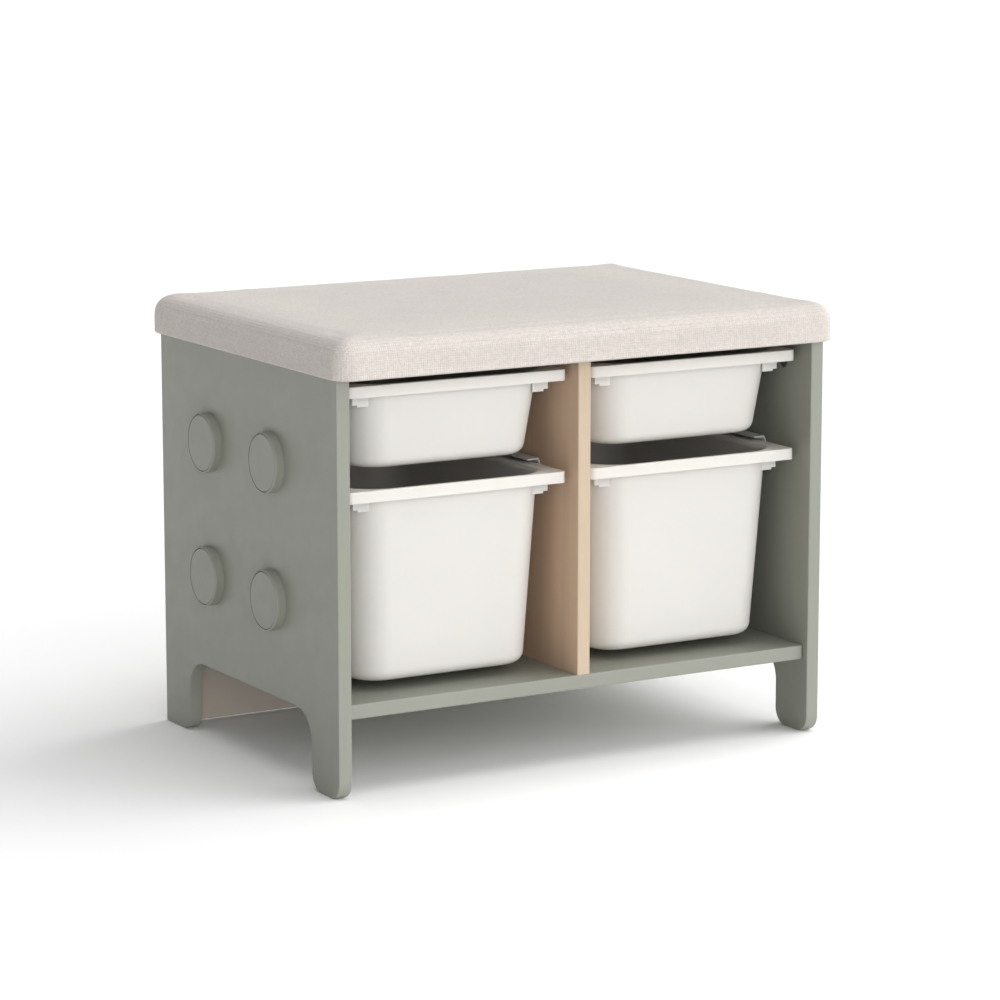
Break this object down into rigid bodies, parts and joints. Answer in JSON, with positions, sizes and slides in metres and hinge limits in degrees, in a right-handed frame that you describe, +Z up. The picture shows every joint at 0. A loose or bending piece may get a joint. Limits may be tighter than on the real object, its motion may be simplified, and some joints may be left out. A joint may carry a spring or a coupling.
{
  "type": "storage bench",
  "caption": "Low bench with an upholstered seat, arched legs and sliding plastic bins under it, for storing toys.",
  "frame": {"origin": "centre of the footprint, on the floor", "axes": "+Z up, -Y towards the open front that the bins slide out of, +X along the seat"},
  "size_m": [0.724, 0.525, 0.5645],
  "materials": {
    "painted_board": "satin sage green paint on board",
    "stud_paint": "satin sage green paint, eased edge",
    "stud_cap_paint": "satin sage green paint, flush disc",
    "natural_wood": "clear matt lacquer over pale beech",
    "back_board": "matt beige board",
    "dowel_wood": "raw beech, fluted",
    "seat_ply": "raw plywood",
    "foam": "open-cell upholstery foam",
    "seat_fabric": "linen-look woven upholstery cloth",
    "black_cloth": "black non-woven dust cloth",
    "bin_plastic": "off-white moulded polypropylene",
    "rail_plastic": "grey moulded plastic",
    "cam_metal": "dark zinc casting",
    "bolt_steel": "zinc plated steel",
    "screw_steel": "zinc plated steel"
  },
  "bodies": {
    "carcass": {"back_panel": "back_board", "bottom_shelf": "painted_board", "cam_bolts_back": "bolt_steel", "cam_bolts_seat": "bolt_steel", "cam_bolts_shelf": "bolt_steel", "cam_locks_back": "cam_metal", "cam_locks_seat": "cam_metal", "cam_locks_shelf": "cam_metal", "divider": "natural_wood", "dowels": "dowel_wood", "frame_screws": "screw_steel", "rail_lower_left_inner": "rail_plastic", "rail_lower_left_outer": "rail_plastic", "rail_lower_right_inner": "rail_plastic", "rail_lower_right_outer": "rail_plastic", "rail_screws": "screw_steel", "rail_upper_left_inner": "rail_plastic", "rail_upper_left_outer": "rail_plastic", "rail_upper_right_inner": "rail_plastic", "rail_upper_right_outer": "rail_plastic", "seat_board": "seat_ply", "seat_cover": "seat_fabric", "seat_dust_cover": "black_cloth", "seat_foam": "foam", "seat_staples": "bolt_steel", "side_panel_left": "painted_board", "side_panel_right": "painted_board", "stud_cap_left_front_bottom": "stud_cap_paint", "stud_cap_left_front_top": "stud_cap_paint", "stud_cap_left_rear_bottom": "stud_cap_paint", "stud_cap_left_rear_top": "stud_cap_paint", "stud_cap_right_front_bottom": "stud_cap_paint", "stud_cap_right_front_top": "stud_cap_paint", "stud_cap_right_rear_bottom": "stud_cap_paint", "stud_cap_right_rear_top": "stud_cap_paint", "stud_left_front_bottom": "stud_paint", "stud_left_front_top": "stud_paint", "stud_left_rear_bottom": "stud_paint", "stud_left_rear_top": "stud_paint", "stud_right_front_bottom": "stud_paint", "stud_right_front_top": "stud_paint", "stud_right_rear_bottom": "stud_paint", "stud_right_rear_top": "stud_paint", "stud_screws": "screw_steel"},
    "bin_lower_left": {"bin_lower_left": "bin_plastic"},
    "bin_lower_right": {"bin_lower_right": "bin_plastic"},
    "bin_upper_left": {"bin_upper_left": "bin_plastic"},
    "bin_upper_right": {"bin_upper_right": "bin_plastic"}
  },
  "joints": [
    {"name": "lower_left_slide", "type": "slide", "parent": "carcass", "child": "bin_lower_left", "axis": [0, -1, 0], "range_m": [0, 0.33]},
    {"name": "lower_right_slide", "type": "slide", "parent": "carcass", "child": "bin_lower_right", "axis": [0, -1, 0], "range_m": [0, 0.33]},
    {"name": "upper_left_slide", "type": "slide", "parent": "carcass", "child": "bin_upper_left", "axis": [0, -1, 0], "range_m": [0, 0.33]},
    {"name": "upper_right_slide", "type": "slide", "parent": "carcass", "child": "bin_upper_right", "axis": [0, -1, 0], "range_m": [0, 0.33]}
  ]
}
